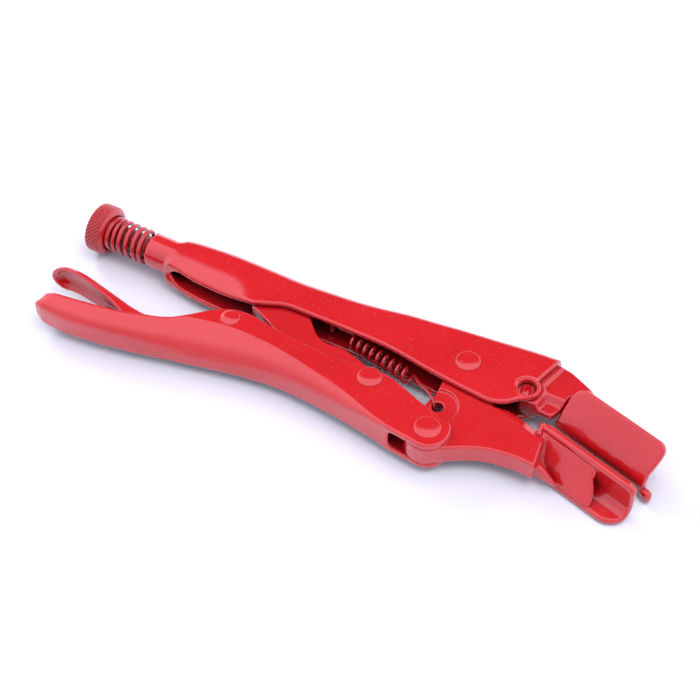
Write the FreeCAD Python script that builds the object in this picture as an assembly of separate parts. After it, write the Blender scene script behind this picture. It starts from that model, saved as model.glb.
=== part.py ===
import FreeCAD, Part
import os, math

# Locking pliers with wide plate jaws, lying on their side, locked shut.
# Working frame: origin on the jaw pivot axis, +X along the adjusting screw
# towards the jaws, +Y towards the upper handle, +Z along the rivet axes.
# Everything is moved at the end so that the origin is the bottom centre.

# ---- driving dimensions (mm) ----
SHIFT_X = 43.56        # bottom-centre origin: move of the working frame in X
SHIFT_Y = 18.51        # and in Y
MID_Z = 10.5           # height of the mid-plane above the surface it lies on
HALF_W = 7.0           # half outer width of both handle channels
WALL = 2.4             # sheet thickness of the handles
HALF_IN = HALF_W - WALL
FORGE = 4.4            # half thickness of the jaw forgings
LINK_T = 4.2           # half thickness of the toggle link
SCREW_Y = -5.2         # adjusting screw axis
SCREW_R = 4.76         # 3/8 inch thread, major radius
SCREW_CLEAR = 0.09     # running clearance in the barrel
SCREW_TIP_X = -88.6
BARREL_R = 7.2
BARREL_X0, BARREL_X1 = -144.0, -121.0
KNOB_R = 10.5
KNOB_X0, KNOB_X1 = -170.4, -163.7
COLLAR_X0, COLLAR_X1 = -163.4, -160.4
COLLAR_R = 7.3
SPRING_R = 6.4         # mean coil radius of the spring on the screw
SPRING_WIRE = 0.95
SPRING_X0, SPRING_X1 = -160.3, -144.1
SPRING_TURNS = 4.75
RIVET_R = 3.2          # rivet shank radius
PIN_CLEAR = 0.05       # running clearance round a rivet
R1 = (0.0, 0.0)        # jaw pivot
R2 = (-29.0, -25.4)    # toggle link pivot
R3 = (1.2, -35.8)      # lower handle pivot on the jaw
R4 = (-91.0, -26.2)    # release lever pivot
HEAD = {1: 4.9, 2: 4.8, 3: 5.1, 4: 3.9}
HEAD_H = 1.15
PLATE = 3.0            # jaw plate thickness
PLATE_ANG = -14.5      # direction of both jaw plates in plan, degrees
PLATE_HALF = 21.0      # half length of the fixed jaw plate
LPLATE_HALF = 21.5     # half length of the moving jaw plate
FP = (59.15, -9.0)     # point on the gripping face of the fixed plate
LP = (58.85, -16.5)    # point on the gripping face of the moving plate
FLANGE_C = 12.3        # reach of the fixed plate's 45 degree flange
FLANGE_Z = 9.5         # height of that flange's edge
LFLANGE_C = 12.0       # reach of the moving plate's flange
LTOP_Z = 6.5           # top edge of the moving plate's wall
PLATE_BOT = -10.5
HOLE = (-1.1, -22.9)   # return spring hole in the moving jaw
HOLE_R = 2.2

V = FreeCAD.Vector


def seg(pts, z=0.0):
    """One edge: a line through two points or a smooth curve through more."""
    p = [V(a, b, z) for a, b in pts]
    if len(p) == 2:
        return Part.makeLine(p[0], p[1])
    c = Part.BSplineCurve()
    c.interpolate(p)
    return c.toShape()


def plan(segs, z0, z1):
    """Solid from a closed plan outline given as consecutive segments."""
    w = Part.Wire([seg(s, z0) for s in segs])
    return Part.Face(w).extrude(V(0, 0, z1 - z0))


def polyplan(pts, z0, z1):
    p = [V(a, b, z0) for a, b in pts]
    return Part.Face(Part.makePolygon(p + [p[0]])).extrude(V(0, 0, z1 - z0))


def cyl_z(c, r, z0, z1):
    return Part.makeCylinder(r, z1 - z0, V(c[0], c[1], z0), V(0, 0, 1))


def cyl_x(x0, x1, r, y=SCREW_Y, z=0.0):
    return Part.makeCylinder(r, x1 - x0, V(x0, y, z), V(1, 0, 0))


def offset(pts, d):
    """Points moved by d to the right of the direction of travel."""
    out = []
    n = len(pts)
    for i in range(n):
        a = pts[max(i - 1, 0)]
        b = pts[min(i + 1, n - 1)]
        tx, ty = b[0] - a[0], b[1] - a[1]
        L = math.hypot(tx, ty)
        out.append((pts[i][0] + d * ty / L, pts[i][1] - d * tx / L))
    return out


def dome(c, r, z, up, h=HEAD_H):
    """Low domed rivet head on the plane z, rising along up (+1 or -1)."""
    rim = 0.35
    R = (r * r + (h - rim) ** 2) / (2 * (h - rim))
    prof = [V(0, 0, z), V(r, 0, z), V(r, 0, z + up * rim)]
    e = [Part.makeLine(prof[0], prof[1]), Part.makeLine(prof[1], prof[2])]
    a = math.asin(r / R) / 2.0
    mid = V(R * math.sin(a), 0, z + up * (h - R + R * math.cos(a)))
    top = V(0, 0, z + up * h)
    e.append(Part.Arc(prof[2], mid, top).toShape())
    e.append(Part.makeLine(top, prof[0]))
    s = Part.Face(Part.Wire(e)).revolve(V(0, 0, 0), V(0, 0, 1), 360)
    s.translate(V(c[0], c[1], 0))
    return s


def fuse(*s):
    r = s[0]
    for o in s[1:]:
        r = r.fuse(o)
    return r.removeSplitter()


U = (math.cos(math.radians(PLATE_ANG)), math.sin(math.radians(PLATE_ANG)))
NF = (-U[1], U[0])     # across the plates, towards the upper handle side


def along(origin, s, c, side=1):
    return (origin[0] + s * U[0] + side * c * NF[0], origin[1] + s * U[1] + side * c * NF[1])


def section(origin, prof, s0, s1, side=1):
    """Solid from a cross-section of (c, z) points and arcs, run from s0 to s1.
    prof items: (c, z) or ((c, z), 'arc') where the arc passes through that
    point to the next one."""
    def P(q):
        a = along(origin, s0, q[0], side)
        return V(a[0], a[1], q[1])
    edges = []
    i = 0
    n = len(prof)
    cur = prof[0]
    k = 1
    while k <= n:
        it = prof[k % n]
        if len(it) == 2 and it[1] == 'arc':
            nxt = prof[(k + 1) % n]
            edges.append(Part.Arc(P(cur), P(it[0]), P(nxt)).toShape())
            cur = nxt
            k += 2
        else:
            edges.append(Part.makeLine(P(cur), P(it)))
            cur = it
            k += 1
    f = Part.Face(Part.Wire(edges))
    L = s1 - s0
    return f.extrude(V(U[0] * L, U[1] * L, 0))


parts = {}

# ---------------------------------------------------------------- upper handle
SPINE = [(-131, 2.2), (-128, 3.1), (-125, 4.0), (-120, 4.8), (-111, 5.6), (-100, 5.8), (-90, 5.8),
         (-76, 6.0), (-65, 6.7), (-50, 7.9), (-40, 9.6), (-30, 11.6), (-20, 13.1), (-10, 14.9),
         (0, 16.4), (10, 17.8), (20, 19.1), (30, 20.0)]
LOW1 = [(-88, -14.8), (-100, -14.8), (-113, -14.5), (-120, -14.0), (-126.5, -12.8), (-131, -12.0)]
LOW2 = [(27.0, -5.5), (24, -7.6), (22, -9.8), (20, -11.3), (17, -12.6), (14, -13.1), (10, -12.9),
        (5, -12.6), (0, -12.2), (-10, -11.2), (-20, -9.8), (-30, -8.6), (-40, -8.4), (-50, -8.5),
        (-60, -8.8), (-70, -9.1), (-76, -9.7), (-80, -11.2), (-85, -13.6), (-88, -14.8)]
FRONT = [(30.9, 19.2), (29.7, 13), (28.3, 8), (27.5, 4.5)]
EAR = [(27.5, 4.5), (29.4, 2.6), (30.1, -0.4), (29.2, -3.4), (27.0, -5.5)]
outer = plan([SPINE, [(30, 20.0), (30.9, 19.2)], FRONT, EAR, LOW2, LOW1, [(-131, -12.0), (-131, 2.2)]],
             -HALF_W, HALF_W)
spine_edges = []
for e in outer.Edges:
    b = e.BoundBox
    if b.ZLength < 0.01 and b.XMin < -130.9 and b.XMax > 29.9 and b.YMax > 15:
        spine_edges.append(e)
outer = outer.makeFillet(4.4, spine_edges)
sp_in = offset(SPINE, WALL)
sp_in[0] = (-131.5, sp_in[0][1])
cav = plan([sp_in, [sp_in[-1], (34, 17.9)], [(34, 17.9), (34, -20)], [(34, -20), (-131.5, -20)],
            [(-131.5, -20), sp_in[0]]], -HALF_IN, HALF_IN)
cav_edges = []
for e in cav.Edges:
    b = e.BoundBox
    if b.ZLength < 0.01 and b.XLength > 150 and b.YMax > 10:
        cav_edges.append(e)
cav = cav.makeFillet(2.0, cav_edges)
channel = outer.cut(cav)
barrel = cyl_x(BARREL_X0, BARREL_X1, BARREL_R)
big = [e for e in barrel.Edges if abs(e.BoundBox.XMin - BARREL_X0) < 0.01 and e.BoundBox.XLength < 0.01]
barrel = barrel.makeFillet(1.6, big)
# the tube opens into the channel: only its upper part runs on past the seam
barrel = barrel.cut(Part.makeBox(12, 12, 20, V(-131.0, -21.0, -10)))
handle = fuse(channel, barrel)
bore = cyl_x(-150, -82, SCREW_R + SCREW_CLEAR)
handle = handle.cut(bore)
# plug weld holes and pivot rivet holes through both walls
handle = handle.cut(cyl_z((25.3, -0.4), 3.4, -20, 20))
handle = handle.cut(cyl_z(R1, RIVET_R, -20, 20))
parts["upper_handle"] = handle

# small bar across the channel that the return spring hooks on
parts["spring_anchor_pin"] = cyl_z((-57.5, -4.4), 1.25, -HALF_IN, HALF_IN)

# ------------------------------------------------------------- fixed jaw plate
t = math.tan(math.radians(22.5))
CORNER_Z = FLANGE_Z - FLANGE_C       # virtual corner of the near surface
RB = 6.0                             # bend radius of the near surface
r2 = math.sqrt(0.5)
d = RB * t


def bend(rad, cx, cz):
    """Arc of the 45 degree bend: start on the wall, mid point, end on flange."""
    s = (cx - rad, cz)
    m = (cx - rad * math.cos(math.radians(22.5)), cz + rad * math.sin(math.radians(22.5)))
    e = (cx - rad * r2, cz + rad * r2)
    return s, m, e


# bend centre lies on the far side, so the near surface has the larger radius
cx, cz = RB, CORNER_Z - d
n_s, n_m, n_e = bend(RB, cx, cz)
f_s, f_m, f_e = bend(RB - PLATE, cx, cz)
e_near = (FLANGE_C, FLANGE_Z)
e_far = (FLANGE_C + PLATE * r2, FLANGE_Z - PLATE * r2)
prof = [(0, PLATE_BOT), n_s, (n_m, 'arc'), n_e, e_near, e_far, f_e, (f_m, 'arc'), f_s, (PLATE, PLATE_BOT)]
fplate = section(FP, prof, -PLATE_HALF, PLATE_HALF)
# rounded corners of the flange, cut square to it
def flange_corner(s_c, r, sgn):
    """Wedge outside a rounded corner at flange end s_c (sgn = +1 or -1)."""
    a = along(FP, s_c, FLANGE_C, 1)
    nrm = V(-NF[0] * r2, -NF[1] * r2, r2)
    ed = V(NF[0] * r2, NF[1] * r2, r2)       # up the flange
    ud = V(U[0], U[1], 0)
    corner = V(a[0], a[1], FLANGE_Z)
    box = []
    c0 = corner - ud * (sgn * r) - ed * r
    pts = [c0, c0 + ud * (sgn * (r + 3)), c0 + ud * (sgn * (r + 3)) + ed * (r + 3), c0 + ed * (r + 3)]
    pts = [p - nrm * 8 for p in pts]
    sq = Part.Face(Part.makePolygon(pts + [pts[0]])).extrude(nrm * 16)
    cy = Part.makeCylinder(r, 16, c0 - nrm * 8, nrm)
    return sq.cut(cy)
fplate = fplate.cut(flange_corner(PLATE_HALF, 4.0, 1))
fplate = fplate.cut(flange_corner(-PLATE_HALF, 6.0, -1))
parts["fixed_jaw_plate"] = fplate

# everything on the near side of the plate's back surface, for trimming
cut_near = section(FP, [(-40, -30), (-40, 40), (40 + PLATE * r2 + f_e[0] - 0, 40 + f_e[1]), f_e, (f_m, 'arc'), f_s,
                        (PLATE, -30)], -PLATE_HALF - 0.4, 40)

# ---------------------------------------------------------- fixed jaw forging
OUT = [(31.4, 17.4), (36, 17.0), (40, 15.5), (44, 13.8), (48, 11.6), (52, 9.3), (60, 6.0), (70, 1.3), (78.6, -4.0)]
body = plan([[(13.0, 15.4), (22.0, 16.4), (31.4, 17.3)], [(31.4, 17.3), (31.4, 17.4)], OUT,
             [(78.6, -4.0), (78.2, -13.0)], [(78.2, -13.0), (38.9, -2.3)], [(38.9, -2.3), (37.0, -4.8)],
             [(37.0, -4.8), (24.5, -4.8)], [(24.5, -4.8), (15.5, 0.5)], [(15.5, 0.5), (13.0, 6.0)],
             [(13.0, 6.0), (13.0, 15.4)]], -FORGE, FORGE)
# inner part in front of the handle is lower: bevel and tongue
step = Part.makePolygon([V(29.9, 3.2, FORGE + 0.01), V(29.9, 0.5, 1.7), V(29.9, -8, 1.7), V(29.9, -8, 6),
                         V(29.9, 3.2, 6), V(29.9, 3.2, FORGE + 0.01)])
body = body.cut(Part.Face(step).extrude(V(12, 0, 0)))
body = body.cut(Part.makeBox(14, 6, 4, V(29.9, -8, -6.5)))
body = body.cut(cut_near)
body = body.cut(cyl_z((25.3, -0.4), 3.4, 2.6, 8)).cut(cyl_z((25.3, -0.4), 3.4, -8, -2.6))
parts["fixed_jaw"] = body
parts["upper_handle"] = parts["upper_handle"].cut(body)

# plug welds: one lens of weld in each hole, both sides
pw = []
for sgn in (1, -1):
    z0 = 2.6 * sgn
    c = Part.makeCylinder(3.4, 2.2, V(25.3, -0.4, z0), V(0, 0, sgn))
    n = Part.makeSphere(1.9, V(25.6, -1.0, 4.5 * sgn))
    n = n.common(Part.makeCylinder(3.3, 6, V(25.3, -0.4, z0), V(0, 0, sgn)))
    pw.append(fuse(c, n))
parts["plug_welds"] = Part.makeCompound(pw)

# weld run along the outer end of the fixed plate and its rounded end bead
bead = Part.makeCylinder(1.95, 4.8, V(*(list(along(FP, PLATE_HALF + 1.75, 0.6)) + [-10.2])), V(0, 0, 1))
bead = bead.makeFillet(1.3, [e for e in bead.Edges if e.BoundBox.ZLength < 0.01])
fw = section(FP, [(PLATE, -4.4), (PLATE, -8.2), (PLATE + 3.2, -4.4)], -PLATE_HALF + 3, PLATE_HALF - 4)
parts["fixed_plate_weld"] = fw.cut(fplate)
bead = bead.cut(fplate)
# nothing of it stands in front of the gripping face
bead = bead.cut(section(FP, [(-6, -14), (0.02, -14), (0.02, -2), (-6, -2)], 0, PLATE_HALF + 0.03))
parts["plate_end_bead"] = bead

# ------------------------------------------------------------ moving jaw plate
RO, RI = 7.0, 4.0
c45 = math.cos(math.radians(45))
lprof = [(0, LTOP_Z), (0, PLATE_BOT + RO), ((RO - RO * c45, PLATE_BOT + RO - RO * c45), 'arc'),
         (RO, PLATE_BOT), (LFLANGE_C, PLATE_BOT), (LFLANGE_C, PLATE_BOT + PLATE), (RO, PLATE_BOT + PLATE),
         ((RO - RI * c45, PLATE_BOT + RO - RI * c45), 'arc'), (PLATE, PLATE_BOT + RO), (PLATE, LTOP_Z)]
lplate = section(LP, lprof, -LPLATE_HALF, LPLATE_HALF, -1)
# rounded right-hand corner of the flange
r = 8.0
a = along(LP, LPLATE_HALF - r, LFLANGE_C - r, -1)
sq = polyplan([a, along(LP, LPLATE_HALF + 3, LFLANGE_C - r, -1), along(LP, LPLATE_HALF + 3, LFLANGE_C + 3, -1),
               along(LP, LPLATE_HALF - r, LFLANGE_C + 3, -1)], -15, -5.0)
lplate = lplate.cut(sq.cut(cyl_z(a, r, -16, -4)))
# rounded top corners of the wall
for sgn, rr in ((1, 3.0), (-1, 2.5)):
    ctr = along(LP, sgn * (LPLATE_HALF - rr), 0, -1)
    p0 = V(ctr[0], ctr[1], LTOP_Z - rr)
    ax = V(-NF[0], -NF[1], 0)
    ud = V(U[0], U[1], 0) * sgn
    q = [p0, p0 + ud * (rr + 1), p0 + ud * (rr + 1) + V(0, 0, rr + 1), p0 + V(0, 0, rr + 1)]
    q = [k - ax * 2 for k in q]
    w = Part.Face(Part.makePolygon(q + [q[0]])).extrude(ax * 8).cut(Part.makeCylinder(rr, 12, p0 - ax * 3, ax))
    lplate = lplate.cut(w)
parts["moving_jaw_plate"] = lplate

# --------------------------------------------------------- moving jaw forging
JL = [(-8.45, -1.0), (-7.6, -4.0), (-5.6, -9.0), (-4.7, -14.0), (-4.6, -18.0), (-5.4, -21.0)]
arm = plan([[(0.0, 8.5), (-6.01, 6.01), (-8.45, -1.0)], JL,
            [(-5.4, -21.0), (-7.4, -34.0)], [(-7.4, -34.0), (-4.0, -42.9), (3.2, -44.37)],
            [(3.2, -44.37), (7.4, -41.6), (12.9, -37.9), (18.9, -34.4), (24, -32.3), (30, -31), (36, -30.4)],
            [(36, -30.4), (42.5, -30.6)],
            [(42.5, -30.6), along(LP, -19.0, PLATE, -1)], [along(LP, -19.0, PLATE, -1), (35.6, -13.9)],
            [(35.6, -13.9), (29, -12.2), (23, -11.1), (20.0, -12.0), (17.4, -12.6), (14, -8.2), (8.5, 0.0)],
            [(8.5, 0.0), (6.01, 6.01), (0.0, 8.5)]], -FORGE, FORGE)
lug = cyl_z(R3, 8.8, -FORGE, FORGE)
jaw = fuse(arm, lug)
# nose behind the plate: sloped block that fills the angle
nose_prof = [(PLATE, 3.4), (PLATE + 1.2, 3.4), (LFLANGE_C - 0.2, PLATE_BOT + PLATE + 0.6),
             (LFLANGE_C - 0.2, PLATE_BOT + PLATE), (RO, PLATE_BOT + PLATE),
             ((RO - RI * c45, PLATE_BOT + RO - RI * c45), 'arc'), (PLATE, PLATE_BOT + RO)]
nose = section(LP, nose_prof, -20.2, 7.2, -1)
below = section(LP, [(-6, 20), (-6, -30), (PLATE, -30), (PLATE, 20)], -LPLATE_HALF - 0.4, 40, -1)
jaw = jaw.cut(below)
jaw = fuse(jaw, nose)
under = section(LP, [(-2, PLATE_BOT - 5), (30, PLATE_BOT - 5), (30, PLATE_BOT + PLATE), (RO, PLATE_BOT + PLATE),
                     ((RO - RI * c45, PLATE_BOT + RO - RI * c45), 'arc'), (PLATE, PLATE_BOT + RO), (PLATE, 10),
                     (-2, 10)], -LPLATE_HALF - 0.4, 40, -1)
jaw = jaw.cut(under)
jaw = jaw.cut(cyl_z(R1, RIVET_R + PIN_CLEAR, -20, 20)).cut(cyl_z(R3, RIVET_R + PIN_CLEAR, -20, 20))
jaw = jaw.cut(cyl_z(HOLE, HOLE_R, -20, 20))
parts["moving_jaw"] = jaw

# weld run that joins the left end of the moving plate to the forging
lw = section(LP, [(0.3, -4.4), (0.3, 4.4), (1.5, 5.2), (PLATE + 1.5, 4.4), (PLATE + 1.5, -4.4)],
             -LPLATE_HALF - 1.6, -LPLATE_HALF, -1)
lw = lw.cut(jaw)
parts["moving_plate_weld"] = max(lw.Solids, key=lambda q: q.Volume)

# ---------------------------------------------------------------- lower handle
WEB = [(-167.2, -53.6), (-165.0, -55.6), (-162.3, -56.4), (-158, -56.9), (-153, -57.0), (-148, -56.6),
       (-137.7, -55.2), (-127.4, -53.2), (-117, -50.8), (-106.8, -48.2), (-96.5, -45.7), (-86.2, -43.2),
       (-75.9, -41.1), (-65.6, -39.6), (-55.4, -39.2), (-45, -39.7), (-34.8, -40.6), (-24.6, -41.8),
       (-14.3, -43.2), (-8, -43.9), (-2.0, -44.4), (1.2, -44.8)]
FREE = [(8.4, -30.4), (5.2, -30.2), (3, -29.3), (0, -28), (-3, -27), (-9, -25.2), (-15, -23.1), (-21, -21.2), (-27, -20.5),
        (-34, -21), (-40, -22.4), (-45, -22.8), (-50, -23), (-55, -22.8), (-66, -22.3), (-74, -21.5),
        (-80, -20.6), (-87, -20.2), (-92, -21.1), (-96, -23), (-100, -25.8), (-105, -30.5), (-110, -34.9),
        (-115, -38), (-122, -40.6), (-130, -43.4), (-140, -46), (-150, -48), (-157, -49.2), (-162, -50.4),
        (-166, -51.8), (-167.2, -53.6)]
FREE[0] = (R3[0] + 9.0 * math.cos(math.radians(42)), R3[1] + 9.0 * math.sin(math.radians(42)))
arcR3 = [(1.2, -44.8), (R3[0] + 9 * math.cos(math.radians(-45)), R3[1] + 9 * math.sin(math.radians(-45))),
         (R3[0] + 9.0, R3[1]), FREE[0]]
FREE = [FREE[0]] + FREE[2:]
lh = plan([WEB, arcR3, FREE], -HALF_W, HALF_W)
RWEB = 5.0             # outside corner radius along the web


def rounded_run(stations, r, y_open, half):
    """Solid with two rounded edges along the web, lofted along X."""
    wires = []
    k = r * (1.0 - math.sqrt(0.5))
    for x, y in stations:
        p = [V(x, y_open, half), V(x, y + r, half), V(x, y + k, half - k), V(x, y, half - r),
             V(x, y, -half + r), V(x, y + k, -half + k), V(x, y + r, -half), V(x, y_open, -half)]
        wires.append(Part.Wire([Part.makeLine(p[0], p[1]), Part.Arc(p[1], p[2], p[3]).toShape(),
                                Part.makeLine(p[3], p[4]), Part.Arc(p[4], p[5], p[6]).toShape(),
                                Part.makeLine(p[6], p[7]), Part.makeLine(p[7], p[0])]))
    return Part.makeLoft(wires, True, False)


ST = [(-169, -56.1), (-162.3, -56.6)] + WEB[3:19] + [(-2.0, -44.6), (12.0, -45.9)]
lh = lh.common(rounded_run(ST, RWEB, -5.0, HALF_W))
WIN = [p for p in WEB if p[0] > -160]
win = offset(WIN, -WALL)
lcav = plan([win, [win[-1], (win[-1][0], 0)], [(win[-1][0], 0), (-176, 0)], [(-176, 0), (-176, win[0][1] - 0.3)],
             [(-176, win[0][1] - 0.3), win[0]]], -HALF_IN, HALF_IN)
# the web stops short so that the jaw passes between the two lugs
notch2 = Part.makeBox(40, 60, 2 * HALF_IN, V(-11.5, -60, -HALF_IN))
lh = lh.cut(lcav).cut(notch2)
for c in (R2, R3, R4):
    lh = lh.cut(cyl_z(c, RIVET_R if c != R4 else 2.6, -20, 20))
parts["lower_handle"] = lh

# ----------------------------------------------------------------- toggle link
link = plan([[(R2[0] + 6.2, R2[1] + 2.4), (R2[0] + 3.4, R2[1] + 5.6), (-31.5, -19.4), (-34.6, -18.6), (-41.2, -16.9),
              (-46.0, -15.9), (-52.5, -16.5), (-57.2, -15.3), (-60.2, -13.1), (-63.0, -10.2), (-67.0, -6.0),
              (-73.0, -2.6), (-79.0, -1.6), (-83.4, -1.9), (-85.7, -3.1), (-86.6, -5.3), (-86.4, -8.2), (-87.2, -11.4),
              (-88.8, -14.3)],
             [(-88.8, -14.3), (-77.5, -19.4)],
             [(-77.5, -19.4), (-66.0, -24.6), (-54.0, -28.6), (-42.0, -31.4), (-33.0, -32.0), (-26.0, -31.4),
              (-22.6, -27.6), (R2[0] + 6.2, R2[1] + 2.4)]], -LINK_T, LINK_T)
link = link.cut(cyl_z(R2, RIVET_R + PIN_CLEAR, -20, 20))
parts["toggle_link"] = link

# --------------------------------------------------------------- release lever
# channel open towards the lower handle, tail swept up to the thumb end
LW = [(-166.6, -36.6), (-164.0, -38.6), (-160.0, -39.2), (-152, -39.4), (-143, -40.3), (-134, -41.6), (-126, -42.6),
      (-118, -42.6), (-110, -41.0), (-102, -38.0), (-94, -34.2), (-86, -31.2), (-79, -29.6), (-75.6, -29.4)]
LE = [(-75.6, -29.4), (-74.9, -27.6), (-77.0, -25.9), (-83.0, -22.4), (-90.0, -21.2), (-96.0, -23.2), (-101.0, -27.4), (-106.0, -31.6),
      (-111.0, -35.0), (-118, -37.4), (-126, -38.2), (-134, -37.7), (-143, -36.2), (-152, -34.0), (-158, -33.0),
      (-163, -33.4), (-166.2, -35.2), (-166.6, -36.6)]
LHALF = 4.2
lev = plan([LW, LE], -LHALF, LHALF)
le = [e for e in lev.Edges if e.BoundBox.ZLength < 0.01 and e.BoundBox.YMax < -29 and e.BoundBox.XLength > 60
      and e.BoundBox.YMin < -42]
lev = lev.makeFillet(2.4, le)
# hollow side faces the lower handle
LEI = [p for p in LE if -164 < p[0] < -82]
lei = offset(LEI, -1.8)
lvc = plan([lei, [lei[-1], (-176, lei[-1][1])], [(-176, lei[-1][1]), (-176, -60)], [(-176, -60), (lei[0][0], -60)],
            [(lei[0][0], -60), lei[0]]], -LHALF + 1.7, LHALF - 1.7)
lev = lev.cut(lvc)
# wide curved thumb end
tail = [p for p in LE if p[0] < -142]
tin = offset(tail, -2.2)
pad = plan([tail[:-1], [tail[-2], tail[-1]], [tail[-1], tin[-2]], list(reversed(tin[:-1])), [tin[0], tail[0]]], -6.4, 6.4)
lev = fuse(lev, pad)
lev = lev.cut(cyl_z(R4, 2.6 + PIN_CLEAR, -20, 20))
parts["release_lever"] = max(lev.Solids, key=lambda q: q.Volume)

# ------------------------------------------------------------------- rivets
for name, c, k, rr in (("jaw_pivot_rivet", R1, 1, RIVET_R), ("link_pivot_rivet", R2, 2, RIVET_R),
                       ("handle_pivot_rivet", R3, 3, RIVET_R), ("lever_pivot_rivet", R4, 4, 2.6)):
    parts[name] = fuse(cyl_z(c, rr, -HALF_W, HALF_W), dome(c, HEAD[k], HALF_W, 1), dome(c, HEAD[k], -HALF_W, -1))

# --------------------------------------------------- adjusting screw, its seat
knob = cyl_x(KNOB_X0, KNOB_X1, KNOB_R)
ke = [e for e in knob.Edges if e.BoundBox.XLength < 0.01]
knob = knob.makeChamfer(0.9, ke)
shank = cyl_x(KNOB_X1 - 0.5, SCREW_TIP_X, SCREW_R)
te = [e for e in shank.Edges if abs(e.BoundBox.XMin - SCREW_TIP_X) < 0.01 and e.BoundBox.XLength < 0.01]
shank = shank.makeChamfer(1.2, te)
parts["adjusting_screw"] = fuse(knob, shank)
parts["spring_seat_collar"] = cyl_x(COLLAR_X0, COLLAR_X1, COLLAR_R).cut(
    cyl_x(COLLAR_X0 - 1, COLLAR_X1 + 1, SCREW_R + PIN_CLEAR))


def coil(x0, x1, r, wire, turns, y, z=0.0):
    """Coil spring about an axis along +X."""
    n = turns
    h = Part.makeHelix((x1 - x0 - 2 * wire) / n, x1 - x0 - 2 * wire, r)
    sec = Part.Wire(Part.makeCircle(wire, V(r, 0, 0), V(0, 1, 0)))
    s = Part.Wire(h).makePipeShell([sec], True, True)
    s.rotate(V(0, 0, 0), V(0, 1, 0), 90)
    s.translate(V(x0 + wire, y, z))
    return s


parts["knob_spring"] = coil(SPRING_X0, SPRING_X1, SPRING_R, SPRING_WIRE, SPRING_TURNS, SCREW_Y)

# ---------------------------------------------------------------- return spring
# coil between the anchor pin and the hole in the moving jaw
SA = (-47.0, -7.8)
SB = (-17.5, -13.5)
L = math.hypot(SB[0] - SA[0], SB[1] - SA[1])
RSW = 0.55
rs = coil(0, L, 2.95, RSW, 9.0, 0.0)
rs.rotate(V(0, 0, 0), V(0, 0, 1), math.degrees(math.atan2(SB[1] - SA[1], SB[0] - SA[0])))
rs.translate(V(SA[0], SA[1], 0))
parts["return_spring"] = rs


# ------------------------------------------------------------------- write out
os.makedirs("parts", exist_ok=True)
box = None
for name in sorted(parts):
    s = parts[name]
    s = s.copy()
    s.translate(V(SHIFT_X, SHIFT_Y, MID_Z))
    ok = s.isValid() and s.Volume > 0
    b = s.BoundBox
    print("%-20s %-9s solids %d vol %9.2f  x %.2f..%.2f y %.2f..%.2f z %.2f..%.2f %s" % (
        name, s.ShapeType, len(s.Solids), s.Volume, b.XMin, b.XMax, b.YMin, b.YMax, b.ZMin, b.ZMax,
        "" if ok else "BAD"))
    if s.ShapeType != "Solid" and len(s.Solids) == 1:
        s = s.Solids[0]
    s.exportStep(os.path.join("parts", name + ".step"))
    if box is None:
        box = FreeCAD.BoundBox(b)
    else:
        box.add(b)
print("all x %.3f..%.3f y %.3f..%.3f z %.3f..%.3f" % (box.XMin, box.XMax, box.YMin, box.YMax, box.ZMin, box.ZMax))
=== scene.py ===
import math
import bpy
import numpy as np
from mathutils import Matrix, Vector


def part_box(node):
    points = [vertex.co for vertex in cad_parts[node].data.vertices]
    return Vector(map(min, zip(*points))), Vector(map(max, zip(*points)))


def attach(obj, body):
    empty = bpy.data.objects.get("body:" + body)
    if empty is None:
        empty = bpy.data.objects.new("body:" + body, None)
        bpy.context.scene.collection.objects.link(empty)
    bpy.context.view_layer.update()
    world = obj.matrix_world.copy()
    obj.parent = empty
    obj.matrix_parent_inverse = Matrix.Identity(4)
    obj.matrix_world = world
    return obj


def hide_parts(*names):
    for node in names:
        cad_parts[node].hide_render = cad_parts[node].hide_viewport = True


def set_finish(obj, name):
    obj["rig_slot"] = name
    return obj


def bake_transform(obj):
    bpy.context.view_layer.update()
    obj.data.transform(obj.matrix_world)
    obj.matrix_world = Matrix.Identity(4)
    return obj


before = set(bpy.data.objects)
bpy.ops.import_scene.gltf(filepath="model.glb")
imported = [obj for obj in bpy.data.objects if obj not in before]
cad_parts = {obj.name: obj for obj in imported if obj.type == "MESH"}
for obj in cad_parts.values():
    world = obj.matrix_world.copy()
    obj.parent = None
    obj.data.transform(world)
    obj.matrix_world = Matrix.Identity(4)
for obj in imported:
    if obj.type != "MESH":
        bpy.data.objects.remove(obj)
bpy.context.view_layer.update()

FINE = 1.0

# The jaw pivot axis is the working origin; all lengths below are millimetres about it.
_lo, _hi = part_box("jaw_pivot_rivet")
OX, OY, OZ = [(a + b) * 500.0 for a, b in zip(_lo, _hi)]

HALF_W, WALL, FORGE, LINK_T = 7.0, 2.4, 4.4, 4.2
HALF_IN = HALF_W - WALL
SCREW_Y = -5.2
R1, R2, R3, R4 = (0.0, 0.0), (-29.0, -25.4), (1.2, -35.8), (-91.0, -26.2)
ANG = math.radians(-14.5)
UX, UY = math.cos(ANG), math.sin(ANG)
NX, NY = -UY, UX
FP, LP = (59.15, -9.0), (58.85, -16.5)
HOLE = (-1.1, -22.9)


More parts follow.
